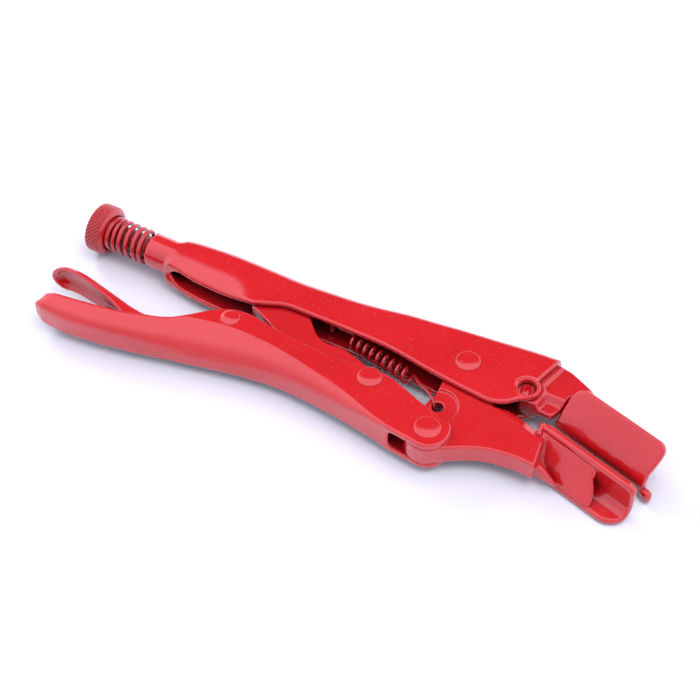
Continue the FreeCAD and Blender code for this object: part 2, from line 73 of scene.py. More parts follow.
# ------------------------------------------------------------------ curves
def smooth(pts, step=0.8):
    """Points along a natural cubic spline through pts."""
    p = np.array(pts, float)
    if len(p) == 2:
        return [tuple(q) for q in p]
    d = np.sqrt(((p[1:] - p[:-1]) ** 2).sum(1))
    t = np.concatenate([[0], np.cumsum(d)])
    n = len(p)
    A = np.zeros((n, n))
    B = np.zeros((n, 2))
    A[0, 0] = A[-1, -1] = 1
    for i in range(1, n - 1):
        A[i, i - 1], A[i, i], A[i, i + 1] = d[i - 1], 2 * (d[i - 1] + d[i]), d[i]
        B[i] = 6 * ((p[i + 1] - p[i]) / d[i] - (p[i] - p[i - 1]) / d[i - 1])
    M = np.linalg.solve(A, B)
    out = []
    for i in range(n - 1):
        k = max(1, int(round(d[i] / step)))
        for j in range(k):
            u = d[i] * j / k
            h = d[i]
            a, b = h - u, u
            q = (M[i] * a ** 3 + M[i + 1] * b ** 3) / (6 * h) + (p[i] / h - M[i] * h / 6) * a + (p[i + 1] / h - M[i + 1] * h / 6) * b
            out.append((q[0], q[1]))
    out.append(tuple(p[-1]))
    return out


# ------------------------------------------------------ distance-field shapes
class Grid:
    def __init__(self, lo, hi, h):
        h = h * FINE
        self.h = h
        self.lo = np.array(lo, float)
        n = np.ceil((np.array(hi, float) - self.lo) / h).astype(int) + 1
        self.n = n
        ax = [(self.lo[i] + h * np.arange(n[i])).astype(np.float32) for i in range(3)]
        self.x, self.y, self.z = ax[0][:, None, None], ax[1][None, :, None], ax[2][None, None, :]


def poly(x, y, pts):
    """Signed distance in plan to a closed outline, negative inside."""
    X, Y = np.broadcast_arrays(np.asarray(x, np.float32), np.asarray(y, np.float32))
    p = np.array(pts, np.float32)
    q = np.roll(p, -1, axis=0)
    best = np.full(X.shape, 1e9, np.float32)
    odd = np.zeros(X.shape, bool)
    for (ax, ay), (bx, by) in zip(p, q):
        ex, ey = bx - ax, by - ay
        L = ex * ex + ey * ey
        if L < 1e-9:
            continue
        wx, wy = X - ax, Y - ay
        t = np.clip((wx * ex + wy * ey) / L, 0, 1)
        dx, dy = wx - ex * t, wy - ey * t
        np.minimum(best, dx * dx + dy * dy, out=best)
        if ay != by:
            c = ((ay > Y) != (by > Y)) & (X < (bx - ax) * (Y - ay) / (by - ay) + ax)
            odd ^= c
    d = np.sqrt(best)
    return np.where(odd, -d, d)


def rint(a, b, r):
    """Both shapes at once, with a rounded edge of radius r."""
    u, v = a + r, b + r
    return np.minimum(np.maximum(u, v), 0) + np.sqrt(np.maximum(u, 0) ** 2 + np.maximum(v, 0) ** 2) - r


def smin(a, b, k):
    h = np.maximum(k - np.abs(a - b), 0) / k
    return np.minimum(a, b) - h * h * k * 0.25


def smax(a, b, k):
    return -smin(-a, -b, k)


def step(v, a, b):
    t = np.clip((v - a) / (b - a), 0, 1)
    return t * t * (3 - 2 * t)


def cyl_z(g, c, r):
    return np.sqrt((g.x - c[0]) ** 2 + (g.y - c[1]) ** 2) - r


def rbox(s, t, s0, s1, t0, t1, radii):
    """Rounded rectangle in (s, t); radii for (s0t0, s1t0, s1t1, s0t1)."""
    cs, ct = (s0 + s1) / 2, (t0 + t1) / 2
    hs, ht = (s1 - s0) / 2, (t1 - t0) / 2
    a, b = s - cs, t - ct
    r = np.where(a < 0, np.where(b < 0, radii[0], radii[3]), np.where(b < 0, radii[1], radii[2]))
    u, v = np.abs(a) - hs + r, np.abs(b) - ht + r
    return np.minimum(np.maximum(u, v), 0) + np.sqrt(np.maximum(u, 0) ** 2 + np.maximum(v, 0) ** 2) - r


def wob(x, y, z, s=1.0, seed=0.0):
    """Smooth unevenness from a few sines, about -1..1."""
    a = np.sin(x * 0.31 * s + 1.7 * np.sin(y * 0.23 * s + seed) + seed)
    b = np.sin(y * 0.37 * s + 1.3 * np.sin(z * 0.29 * s + x * 0.11 * s) + 2.1 * seed)
    c = np.sin(z * 0.41 * s + x * 0.19 * s + y * 0.17 * s + 0.7 * seed)
    return (a + b + c) / 3


def mesh_field(name, g, F, ratio=0.5):
    """A closed mesh on the zero surface of F, thinned where it's flat, with exact normals."""
    F = np.broadcast_to(F, tuple(g.n)).astype(np.float32).copy()
    F[0], F[-1] = np.maximum(F[0], 0.01), np.maximum(F[-1], 0.01)
    F[:, 0], F[:, -1] = np.maximum(F[:, 0], 0.01), np.maximum(F[:, -1], 0.01)
    F[:, :, 0], F[:, :, -1] = np.maximum(F[:, :, 0], 0.01), np.maximum(F[:, :, -1], 0.01)
    s = F < 0
    nx, ny, nz = F.shape
    cnt = np.zeros((nx - 1, ny - 1, nz - 1), np.uint8)
    for i in (0, 1):
        for j in (0, 1):
            for k in (0, 1):
                cnt += s[i:nx - 1 + i, j:ny - 1 + j, k:nz - 1 + k]
    act = (cnt > 0) & (cnt < 8)
    idx = np.full(act.shape, -1, np.int64)
    ci = np.argwhere(act)
    idx[act] = np.arange(len(ci))
    acc, num = np.zeros((len(ci), 3), np.float32), np.zeros(len(ci), np.float32)
    for axis in range(3):
        for o1 in (0, 1):
            for o2 in (0, 1):
                a = np.zeros(3, int)
                others = [q for q in range(3) if q != axis]
                a[others[0]], a[others[1]] = o1, o2
                b = a.copy()
                b[axis] = 1
                fa = F[tuple((ci + a).T)]
                fb = F[tuple((ci + b).T)]
                m = (fa < 0) != (fb < 0)
                t = fa[m] / (fa[m] - fb[m])
                acc[m] += a + (b - a) * t[:, None]
                num[m] += 1
    P = (ci + acc / num[:, None]).astype(np.float64)
    quads = []
    for axis in range(3):
        sl0, sl1 = [slice(None)] * 3, [slice(None)] * 3
        sl0[axis], sl1[axis] = slice(0, -1), slice(1, None)
        a, b = s[tuple(sl0)], s[tuple(sl1)]
        ch = np.argwhere(a != b)
        o = [q for q in range(3) if q != axis]
        ok = (ch[:, o[0]] > 0) & (ch[:, o[1]] > 0) & (ch[:, o[0]] < F.shape[o[0]] - 1) & (ch[:, o[1]] < F.shape[o[1]] - 1)
        ch = ch[ok]
        inside = a[tuple(ch.T)]
        e1, e2 = np.zeros(3, int), np.zeros(3, int)
        e1[o[0]], e2[o[1]] = 1, 1
        q = np.stack([idx[tuple((ch - e1 - e2).T)], idx[tuple((ch - e2).T)], idx[tuple(ch.T)], idx[tuple((ch - e1).T)]], 1)
        flip = inside if axis != 1 else ~inside
        q[~flip] = q[~flip][:, ::-1]
        quads.append(q)
    quads = np.concatenate(quads)
    h = g.h
    grads = np.gradient(F, h)

    def sample(A, P):
        i = np.clip(np.floor(P).astype(int), 0, np.array(F.shape) - 2)
        f = P - i
        out = 0
        for a in (0, 1):
            for b in (0, 1):
                for c in (0, 1):
                    w = (f[:, 0] if a else 1 - f[:, 0]) * (f[:, 1] if b else 1 - f[:, 1]) * (f[:, 2] if c else 1 - f[:, 2])
                    out = out + w * A[i[:, 0] + a, i[:, 1] + b, i[:, 2] + c]
        return out

    def normals(P):
        n = np.stack([sample(G, P) for G in grads], 1)
        return n, np.linalg.norm(n, axis=1)

    def project(P, times=2):
        for _ in range(times):
            n, L = normals(P)
            d = np.clip(sample(F, P), -h, h) / np.maximum(L, 0.3) ** 2
            P = P - np.clip(n * d[:, None] / h, -0.7, 0.7)
        return P

    P = project(P)
    me = bpy.data.meshes.new(name)
    me.from_pydata(P.tolist(), [], quads.tolist())
    ob = bpy.data.objects.new(name, me)
    bpy.context.scene.collection.objects.link(ob)
    if ratio < 1:
        m = ob.modifiers.new("thin", "DECIMATE")
        m.ratio = ratio
        dg = bpy.context.evaluated_depsgraph_get()
        thin = bpy.data.meshes.new_from_object(ob.evaluated_get(dg))
        ob.modifiers.clear()
        ob.data = thin
        bpy.data.meshes.remove(me)
        me = thin
        me.name = name
        co = np.zeros(len(me.vertices) * 3)
        me.vertices.foreach_get("co", co)
        P = project(co.reshape(-1, 3), 1)
    n, L = normals(P)
    n = n / np.maximum(L, 1e-6)[:, None]
    W = g.lo + P * h
    W[:, 2] = np.clip(W[:, 2], -10.49, 10.49)
    co = (W + np.array([OX, OY, OZ])) / 1000.0
    me.vertices.foreach_set("co", co.ravel())
    me.polygons.foreach_set("use_smooth", [True] * len(me.polygons))
    me.update()
    me.normals_split_custom_set_from_vertices(n.tolist())
    return ob


def mesh_direct(name, verts, faces, smooth_it=True):
    """A mesh from points in the working frame, in mm."""
    me = bpy.data.meshes.new(name)
    co = (np.array(verts, float) + np.array([OX, OY, OZ])) / 1000.0
    me.from_pydata(co.tolist(), [], [list(f) for f in faces])
    me.polygons.foreach_set("use_smooth", [smooth_it] * len(me.polygons))
    me.update()
    ob = bpy.data.objects.new(name, me)
    bpy.context.scene.collection.objects.link(ob)
    return ob


def loft(rings, close=True, caps=True):
    """Verts and faces of a tube through rings of equal length; caps are fans."""
    n = len(rings[0])
    v = [p for r in rings for p in r]
    f = []
    for i in range(len(rings) - 1):
        for j in range(n):
            k = (j + 1) % n
            f.append((i * n + j, i * n + k, (i + 1) * n + k, (i + 1) * n + j))
    if caps:
        for i, flip in ((0, True), (len(rings) - 1, False)):
            c = np.mean(rings[i], axis=0)
            v.append(tuple(c))
            ci = len(v) - 1
            for j in range(n):
                k = (j + 1) % n
                f.append((ci, i * n + k, i * n + j) if flip else (ci, i * n + j, i * n + k))
    return v, f


PIECES = []


def keep(ob, body, nodes, slot, mat="enamel"):
    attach(ob, body) if body else None
    if nodes:
        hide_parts(*nodes)
    if slot:
        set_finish(ob, slot)
    PIECES.append((ob, mat))
    return ob


# ================================================================ upper handle
SPINE = [(-131, 3.4), (-128, 4.3), (-125, 4.9), (-120, 5.5), (-111, 6.3), (-100, 6.6), (-90, 6.7),
         (-76, 6.8), (-65, 7.5), (-50, 8.7), (-40, 10.3), (-30, 12.2), (-20, 13.6), (-10, 15.2),
         (0, 16.5), (10, 17.8), (20, 19.1), (30, 20.0)]
LOW1 = [(-88, -14.8), (-100, -14.8), (-112, -14.6), (-119, -14.1), (-125, -13.2), (-130, -12.75), (-140, -12.9), (-152, -13.2)]
LOW2 = [(27.0, -5.5), (24, -7.6), (22, -9.8), (20, -11.3), (17, -12.6), (14, -13.1), (10, -12.9),
        (5, -12.6), (0, -12.2), (-10, -11.2), (-20, -9.8), (-30, -8.6), (-40, -8.4), (-50, -8.5),
        (-60, -8.8), (-70, -9.1), (-76, -9.7), (-80, -11.2), (-85, -13.6), (-88, -14.8)]
FRONT = [(30.9, 19.2), (29.7, 13), (28.3, 8), (27.5, 4.5)]
EAR = [(27.5, 4.5), (29.4, 2.6), (30.1, -0.4), (29.2, -3.4), (27.0, -5.5)]
SP_REGION = smooth(SPINE) + [(45, 21.3), (45, -70), (-170, -70), (-170, 2.0), (-140, 2.0)]
EDGE_REGION = ([(-152, 45), (31.2, 45)] + smooth(FRONT) + smooth(EAR)[1:] + smooth(LOW2)[1:] + smooth(LOW1)[1:])


def upper_handle():
    g = Grid((-146, -17.5, -8.6), (33, 22.5, 8.6), 0.40)
    dS = poly(g.x, g.y, SP_REGION)
    dF = poly(g.x, g.y, EDGE_REGION)
    az = np.abs(g.z)
    # the rear of the channel is fuller, so its sides lean in towards the free edges
    lean = 0.016 * step(-g.x, 84, 104) * np.minimum(g.y + 2.5, 0) ** 2
    az = az + lean * (g.z > 0)
    r = 4.4 + 1.6 * (1 - step(g.x, -82, -28))
    r = np.where(g.z < 0, 2.6, r) + 0 * g.z
    fo = rint(dS, az - HALF_W, r)
    fi = rint(dS + WALL, az - HALF_IN, r - WALL)
    rad = np.sqrt((g.y - SCREW_Y) ** 2 + g.z ** 2)
    w = step(g.x, -133.0, -128.6)
    fo = (rad - 7.2) * (1 - w) + fo * w
    fi = (rad - 4.85) * (1 - step(g.x, -134, -122)) + fi * step(g.x, -134, -122)
    sheet = smax(fo, -fi, 0.3)
    far = step(-g.z, 0.5, 4.0) * step(-g.x, 6, 34)
    f = rint(sheet, dF - 1.5 * far, 1.1)
    f = rint(f, -142.8 - g.x, 1.3)
    bore = np.maximum(rad - 4.85, g.x + 84.0)
    f = smax(f, -bore, 0.4)
    az = np.abs(g.z)
    dh = cyl_z(g, (25.3, -0.4), 3.5)
    a = np.arctan2(g.y + 0.4, g.x - 25.3)
    fade = 0.30 + 0.70 * step(np.cos(a - math.radians(75)), -0.75, -0.1)
    ring = np.sqrt((dh + 3.5 - 4.3) ** 2 + (az - 6.75) ** 2) - 0.85 * fade
    f = smin(f, ring, 0.8)
    f = smax(f, -dh, 0.8)
    # faint pressing unevenness
    f = f + 0.05 * wob(g.x, g.y, g.z, 0.55, 1.0)
    return keep(mesh_field("upper_handle_shell", g, f, 0.42), "frame", ["upper_handle"], "handle_enamel")


# ================================================================ lower handle
WEB = [(-167.2, -54.2), (-165.8, -55.8), (-162.8, -56.7), (-158, -56.9), (-153, -57.0), (-148, -56.6),
       (-137.7, -55.2), (-127.4, -53.2), (-117, -50.8), (-106.8, -48.2), (-96.5, -45.7), (-86.2, -43.2),
       (-75.9, -41.1), (-65.6, -39.6), (-55.4, -39.2), (-45, -39.7), (-34.8, -40.6), (-24.6, -41.8),
       (-14.3, -43.2), (-8, -43.9), (-2.0, -44.4), (1.2, -44.8)]
FREE = [(7.89, -29.78), (3, -28.9), (0, -27.9), (-3, -27), (-9, -25.2), (-15, -23.1), (-21, -21.2), (-27, -20.5),
        (-34, -21), (-40, -22.4), (-45, -22.8), (-50, -23), (-55, -22.8), (-66, -22.3), (-74, -21.5),
        (-80, -20.6), (-87, -20.2), (-92, -21.1), (-96, -23), (-100, -25.8), (-105, -30.5), (-110, -34.9),
        (-115, -38), (-122, -40.6), (-130, -43.4), (-140, -45.6), (-150, -47.3), (-157, -48.4), (-161, -49.1),
        (-164.4, -50.3), (-166.6, -52.2), (-167.2, -54.2)]


def lower_handle():
    g = Grid((-168.5, -58.5, -8.0), (11.5, -18.5, 8.0), 0.42)
    arc = [(R3[0] + 9 * math.cos(math.radians(q)), R3[1] + 9 * math.sin(math.radians(q))) for q in range(-90, 43, 6)]
    dP = poly(g.x, g.y, smooth(WEB) + arc + smooth(FREE))
    web = smooth(WEB[2:])
    dW = poly(g.x, g.y, web + [(40, -46.5), (40, 30), (-200, 30), (-200, -56.4)])
    dTop = poly(g.x, g.y, [(-167.2, -54.2), (-165.8, -55.8), (-163, -56.6), (-163, -90), (40, -90), (40, -35.8), (10.2, -35.8)] +
                arc[15:] + smooth(FREE))
    az = np.abs(g.z)
    depth = np.maximum(-dTop, 0)
    rear = step(-g.x, 96, 126)
    inn = np.maximum(-dW, 0)
    on = 6.0 + 8.0 * step(-g.x, 40, 98)
    fade = step(-g.x, 24, 50)
    near = 1.0 * (g.z > 0)
    lean = near * (rear * np.minimum(0.17 * depth, 1.7) + (1 - rear) * fade * 0.19 * np.maximum(on - inn, 0))
    az_in = az + 0.3 * lean
    az = az + lean
    r = (5.0 + 1.9 * (1 - step(g.x, -78, -38))) * (1 - step(g.x, -36, -15)) + 1.8 * step(g.x, -36, -15)
    r = r * (1 - 0.4 * rear)
    r = np.where(g.z < 0, np.minimum(r, 2.2), r) + 0 * g.z
    fo = rint(dW, az - HALF_W, r)
    fi = rint(dW + WALL, az_in - HALF_IN, np.maximum(r - WALL, 0.5))
    sheet = smax(fo, -fi, 0.3)
    f = rint(sheet, dTop, 1.0)
    az = np.abs(g.z)
    # rounded lugs that straddle the jaw, with the web stopping short of them
    lug = rint(dP, az - HALF_W, 0.9)
    lug = smax(lug, -(az - HALF_IN), 0.6)
    front = g.x + 11.5
    nr = 2.6
    notch = rint(-front, az - HALF_IN, nr)
    web_part = smax(f, -np.maximum(notch, -(g.y + 60)), 0.9)
    f = np.where(g.x > -20, smin(smax(web_part, dP - 0.0, 0.5), np.maximum(lug, -(g.x + 14)), 0.4), web_part)
    f = rint(f, dP, 0.9)
    # spoon tip, rounded across
    endx = -167.3 + 6.2 * (az / 7.0) ** 2.6
    f = rint(f, (endx - g.x) * 0.9, 3.4)
    pit = np.sqrt((g.x + 69.5) ** 2 + (g.y + 37.0) ** 2 + (g.z - 7.2) ** 2) - 0.55
    f = smax(f, -pit, 0.4)
    f = f + 0.035 * wob(g.x, g.y, g.z, 0.8, 3.0)
    return keep(mesh_field("lower_handle_shell", g, f, 0.42), "handle", ["lower_handle"], "handle_enamel")


# =============================================================== release lever
LWEB = [(-170.3, -37.4), (-169.0, -39.4), (-165.0, -40.4), (-158.0, -40.6), (-152, -40.4), (-143, -40.8), (-134, -41.6), (-126, -42.6),
        (-118, -42.6), (-110, -41.0), (-102, -38.0), (-94, -34.2), (-86, -31.2), (-79, -29.6), (-75.6, -29.4)]
LEDGE = [(-75.6, -29.4), (-74.9, -27.6), (-77.0, -25.9), (-83.0, -22.4), (-90.0, -21.2), (-96.0, -23.2), (-101.0, -27.4),
         (-106.0, -31.6), (-111.0, -35.0), (-118, -37.4), (-126, -37.9), (-134, -36.7), (-143, -34.9), (-152, -33.2),
         (-158, -32.4), (-163, -32.4), (-167, -33.4), (-169.6, -35.2), (-170.3, -37.4)]


def release_lever():
    g = Grid((-171.4, -44.2, -7.8), (-73.0, -19.5, 7.8), 0.36)
    dP = poly(g.x, g.y, smooth(LWEB) + smooth(LEDGE)[1:])
    top = [q for q in smooth(LEDGE[:-3]) if q[0] < -90]
    dT = poly(g.x, g.y, [(-60, -21.6), (-80, -21.6)] + top + [(-169.6, -33.9), (-185, -38.0), (-185, -80), (-60, -80)])
    flare = step(-g.x, 133, 157)
    hw = 4.0 + 2.95 * flare
    r = 2.4 + 3.2 * flare
    az = np.abs(g.z)
    side = np.where(g.x < -163.3, np.sqrt((g.x + 163.3) ** 2 + g.z ** 2) - 6.95, az - hw)
    fo = rint(dT, side, r)
    fi = rint(dT + 1.6, side + 1.6, r - 1.6)
    sheet = smax(fo, -fi, 0.3)
    # the side walls get shallow towards the thumb end
    low = -dT - (9.5 - 5.3 * step(-g.x, 116, 141))
    f = rint(sheet, np.maximum(low, dP - 9.0 * step(-g.x, 122, 142)), 0.75)
    f = smax(f, -(cyl_z(g, R4, 2.65) + 0 * g.z), 0.3)
    f = np.where(g.x > -86, smax(f, dP, 0.5), f)
    f = f + 0.03 * wob(g.x, g.y, g.z, 0.6, 5.0)
    return keep(mesh_field("release_lever_shell", g, f, 0.5), "lever", ["release_lever"], "handle_enamel")


# ================================================================= toggle link
LINK = [[(R2[0] + 6.2, R2[1] + 2.4), (R2[0] + 3.4, R2[1] + 5.6), (-31.5, -19.4), (-34.6, -18.6), (-41.2, -16.9),
         (-46.0, -15.9), (-52.5, -16.5), (-57.2, -15.3), (-60.2, -13.1), (-63.0, -10.2), (-67.0, -6.0),
         (-73.0, -2.6), (-79.0, -1.6), (-83.4, -1.9), (-85.7, -3.1), (-86.6, -5.3), (-86.4, -8.2), (-87.2, -11.4),
         (-88.8, -14.3)],
        [(-88.8, -14.3), (-77.5, -19.4)],
        [(-77.5, -19.4), (-66.0, -24.6), (-54.0, -28.6), (-42.0, -31.4), (-33.0, -32.0), (-26.0, -31.4),
         (-22.6, -27.6), (R2[0] + 6.2, R2[1] + 2.4)]]


def toggle_link():
    g = Grid((-90.5, -34, -5.4), (-20.5, 0.5, 5.4), 0.38)
    pts = smooth(LINK[0]) + smooth(LINK[2])
    f = rint(poly(g.x, g.y, pts), np.abs(g.z) - LINK_T, 0.8)
    f = smax(f, -(cyl_z(g, R2, 3.25) + 0 * g.z), 0.3)
    f = f + 0.03 * wob(g.x, g.y, g.z, 1.0, 2.0)
    return keep(mesh_field("toggle_link_bar", g, f, 0.4), "link", ["toggle_link"], "jaw_enamel")


# =================================================================== fixed jaw
OUTJ = [(31.4, 17.4), (36, 17.0), (40, 15.5), (44, 13.8), (48, 11.6), (52, 9.3), (60, 6.0), (70, 1.3), (78.6, -4.0)]
R22 = math.sqrt(0.5)


def fixed_sheet(g):
    """Signed distance of the bent fixed plate and its run (s) and girth (t)."""
    s = (g.x - FP[0]) * UX + (g.y - FP[1]) * UY
    c = (g.x - FP[0]) * NX + (g.y - FP[1]) * NY
    vc, vz = c - 6.0, g.z + 5.285 + 0 * g.x
    e = (vc + vz) * R22
    m = (-vc + vz) * R22
    arc_n = np.sqrt(vc ** 2 + vz ** 2) - 4.5
    phi = np.arctan2(vz, -vc)
    wall = (vz < 0) & (vc < 3)
    fl = (~wall) & ((e > 0) | (vz < 0))
    n = np.where(wall, -vc - 4.5, np.where(fl, m - 4.5, arc_n))
    t = np.where(wall, vz + 0 * vc, np.where(fl, 3.534 + e, 4.5 * phi))
    return s, c, n, t


def fixed_jaw_plate():
    g = Grid((34, -18, -11.2), (85, 14.5, 10.3), 0.36)
    s, c, n, t = fixed_sheet(g)
    out = rbox(s + 0 * t, t, -21.0, 21.0, -5.215, 18.44, (1.2, 1.2, 4.0, 6.0))
    n = n + 0.10 * np.sin(s * 0.16 + 0.6) * step(t, 2, 9)
    out = np.maximum(out, s - 21.0 + 0.028 * np.maximum(8.0 - np.abs(t - 5.5), 0) ** 1.6)
    f = rint(np.abs(n) - 1.5, out, 0.9)
    f = f + 0.03 * wob(g.x, g.y, g.z, 1.0, 4.0)
    # weld spatter and drips frozen in the paint along the bend
    for k in range(9):
        ss = -14 + 4.0 * k + 1.3 * math.sin(k * 2.3)
        tt = 1.2 + 1.2 * math.sin(k * 1.7)
        f = smin(f, np.sqrt((s - ss) ** 2 + ((t - tt) * 0.7) ** 2 + (n - 1.45) ** 2) - (0.20 + 0.09 * math.sin(k * 3.1)), 0.5)
    return keep(mesh_field("fixed_jaw_plate_bent", g, f, 0.45), "frame", ["fixed_jaw_plate"], "jaw_enamel")


def fixed_jaw():
    g = Grid((12, -15.5, -5.6), (80, 19, 5.6), 0.36)
    body = [(13.0, 15.4), (22.0, 16.4), (31.3, 17.35)] + smooth(OUTJ) + [(78.2, -13.0), (38.9, -2.3), (37.0, -4.8),
            (24.5, -4.8), (15.5, 0.5), (13.0, 6.0)]
    dB = poly(g.x, g.y, body)
    dF = poly(g.x, g.y, EDGE_REGION)
    az = np.abs(g.z)
    top = 4.45 - 2.75 * (1 - step(g.y, 0.1, 3.4))
    low = 3.95 - 2.25 * (1 - step(g.y, 0.1, 3.4))
    shoulder = 1 - step(dF, 1.1, 3.1)
    T = np.where(g.x > 25, low + (4.5 - low) * shoulder, 4.45)
    T = np.where(g.x < 24, 4.45, T)
    f = rint(dB, az - T, 0.7)
    s, c, n, t = fixed_sheet(g)
    # trimmed to the back of the bent plate
    near = np.where(n > -1.4, 1.0, n + 1.5)
    f = np.maximum(f, np.minimum(n + 1.40, 2.0) * (s > -21.4) + (s <= -21.4) * -9)
    f = smax(f, -(np.maximum(cyl_z(g, (25.3, -0.4), 3.4), 2.6 - az)), 0.3)
    f = f + 0.05 * wob(g.x, g.y, g.z, 1.3, 6.0)
    return keep(mesh_field("fixed_jaw_forging", g, f, 0.45), "frame", ["fixed_jaw"], "jaw_enamel")


# ================================================================== moving jaw
def moving_coords(g):
    s = (g.x - LP[0]) * UX + (g.y - LP[1]) * UY
    c = -((g.x - LP[0]) * NX + (g.y - LP[1]) * NY)
    return s, c


def moving_sheet(g):
    s, c = moving_coords(g)
    vc, vz = c - 7.0, g.z + 3.5 + 0 * g.x
    wall, fl = (vz > 0) & (vc < 2.0), None
    fl = (~wall) & (vc > 0)
    arc_n = np.sqrt(vc ** 2 + vz ** 2) - 5.5
    phi = np.arctan2(-vz, -vc)
    n = np.where(wall, -vc - 5.5, np.where(fl, -vz - 5.5, arc_n))
    t = np.where(wall, -vz + 0 * vc, np.where(fl, 8.639 + vc, 5.5 * phi))
    return s, c, n, t


def moving_jaw_plate():
    g = Grid((33.5, -36.5, -11.2), (84, -9.5, 7.4), 0.36)
    s, c, n, t = moving_sheet(g)
    out = rbox(s + 0 * t, t, -21.5, 21.5, -10.0, 13.64, (2.6, 3.2, 8.0, 2.0))
    f = rint(np.abs(n) - 1.5, out, 1.15)
    # the wall's top is a little swollen, with a shallow valley along it
    lip = np.sqrt((n * 1.0) ** 2 + ((t + 8.6)) ** 2) - 1.62 + 5 * np.maximum(np.abs(s) - 18.5, 0)
    f = smin(f, lip, 0.5)
    f = f + 0.03 * wob(g.x, g.y, g.z, 1.0, 7.0)
    return keep(mesh_field("moving_jaw_plate_bent", g, f, 0.45), "jaw", ["moving_jaw_plate"], "jaw_enamel")


def moving_jaw():
    g = Grid((-10.5, -46.5, -10.8), (68, 10.0, 5.6), 0.36)
    JL = [(-8.45, -1.0), (-7.6, -4.0), (-5.6, -9.0), (-4.7, -14.0), (-4.6, -18.0), (-5.4, -21.0)]

    def at(s, c):
        return (LP[0] + s * UX - c * NX, LP[1] + s * UY - c * NY)
    arcR = [(8.5 * math.cos(math.radians(q)), 8.5 * math.sin(math.radians(q))) for q in range(0, 187, 6)]
    arm = (smooth(JL) + [(-7.4, -34.0)] +
           smooth([(3.2, -44.37), (7.4, -41.6), (12.9, -37.9), (18.9, -34.4), (24, -32.3), (30, -31), (36, -30.4)]) +
           [(42.5, -30.6), at(-19.0, 2.9), (35.6, -13.9), (29, -12.2), (23, -11.1), (20.0, -12.0), (17.4, -12.6), (14, -8.2)] + arcR)
    dA = poly(g.x, g.y, arm)
    az = np.abs(g.z)
    T = FORGE - 0.0 * g.x
    f = rint(dA, az - T, 0.9)
    f = smin(f, rint(cyl_z(g, R3, 8.8) + 0 * g.z, az - FORGE, 0.9), 0.8)
    # long shallow chamfer along the upper edge in front of the handle
    ex, ey = 14.0, -4.0
    L = math.hypot(ex, ey)
    q = ((g.x - 20.0) * -ey + (g.y + 13.6) * ex) / L
    cham = (q * 0.45 + az - FORGE) * 0.9
    f = np.where((g.x > 17), smax(f, cham, 0.35), f)
    # round recess about the spring hole
    dh = np.sqrt((g.x - HOLE[0]) ** 2 + (g.y - HOLE[1]) ** 2)
    rec = rint(dh - 7.8 + 0 * g.z, (FORGE - 1.0) - az, 0.5)
    f = smax(f, -rec, 0.5)
    # nose: sloped block that fills the angle of the plate
    s, c, n, t = moving_sheet(g)
    slope = ((c - 3.9) * 1.355 + (g.z - 3.3)) / 1.684
    s_end = np.maximum(9.1 - 0.15 * (np.clip(c, 4, 14) - 10) ** 2, 5.2)
    nose = rint(slope, s - s_end, 1.3)
    nose = smax(nose, -20.6 - s, 1.0)
    nose = smax(nose, c - 12.3, 0.8)
    nose = np.maximum(nose, -9.6 - g.z)
    # ripples of weld down the nose's left end and along its foot
    rip = 0.22 * np.sin(c * 2.3 + 0.7 * np.sin(s * 1.1)) * np.exp(-((s + 19.5) / 1.8) ** 2)
    dimple = 0.0 * s
    for k, (ds, dc, rr, dd) in enumerate(((-17.6, 5.2, 0.8, 0.3), (-16.4, 5.8, 0.9, 0.35), (-18.2, 9.6, 0.7, 0.5), (-17.4, 10.8, 0.6, 0.5),
                                          (-7.2, 9.4, 1.0, 0.18), (-11.5, 11.0, 1.4, 0.25), (-8.8, 11.2, 1.2, 0.22), (-6.2, 6.0, 1.2, 0.12))):
        dimple = dimple + dd * np.exp(-(((s - ds) / rr) ** 2 + ((c - dc) / rr) ** 2))
    nose = nose + dimple - rip + 0.06 * wob(s, c * 1.5, g.z, 2.2, 2.0)
    # the foot of the arm runs out along the plate in a tapering fillet
    run = np.clip((s + 20.6) / 17.0, 0, 1)
    foot_c = 13.2 + 0.5 * run
    fr = 3.7 * (1 - run) ** 0.7
    foot = np.sqrt(((c - foot_c) * 0.85) ** 2 + ((g.z + 2.6 + 2.6 * run) * 0.75) ** 2) - fr
    foot = np.maximum(foot, np.maximum(-20.9 - s, s + 3.8))
    foot = smax(foot, c - 15.2 + 1.2 * run, 0.8)
    # welds that run the nose into the plate, in overlapping beads
    f = smin(f, nose, 2.2)
    f = smin(f, foot, 1.8)
    behind = np.maximum(n + 1.42, 0)
    f = np.maximum(f, np.minimum(n + 1.42, 3.0) * (s > -21.9) + (s <= -21.9) * -9)
    f = np.where((c < -0.2) & (s > -21.9), np.maximum(f, 1.0), f)
    for ctr in (R1, R3):
        f = smax(f, -(cyl_z(g, ctr, 3.25) + 0 * g.z), 0.2)
    f = smax(f, -(cyl_z(g, HOLE, 2.2) + 0 * g.z), 0.7)
    f = f + 0.05 * wob(g.x, g.y, g.z, 1.3, 8.0)
    return keep(mesh_field("moving_jaw_forging", g, f, 0.45), "jaw", ["moving_jaw"], "jaw_enamel")


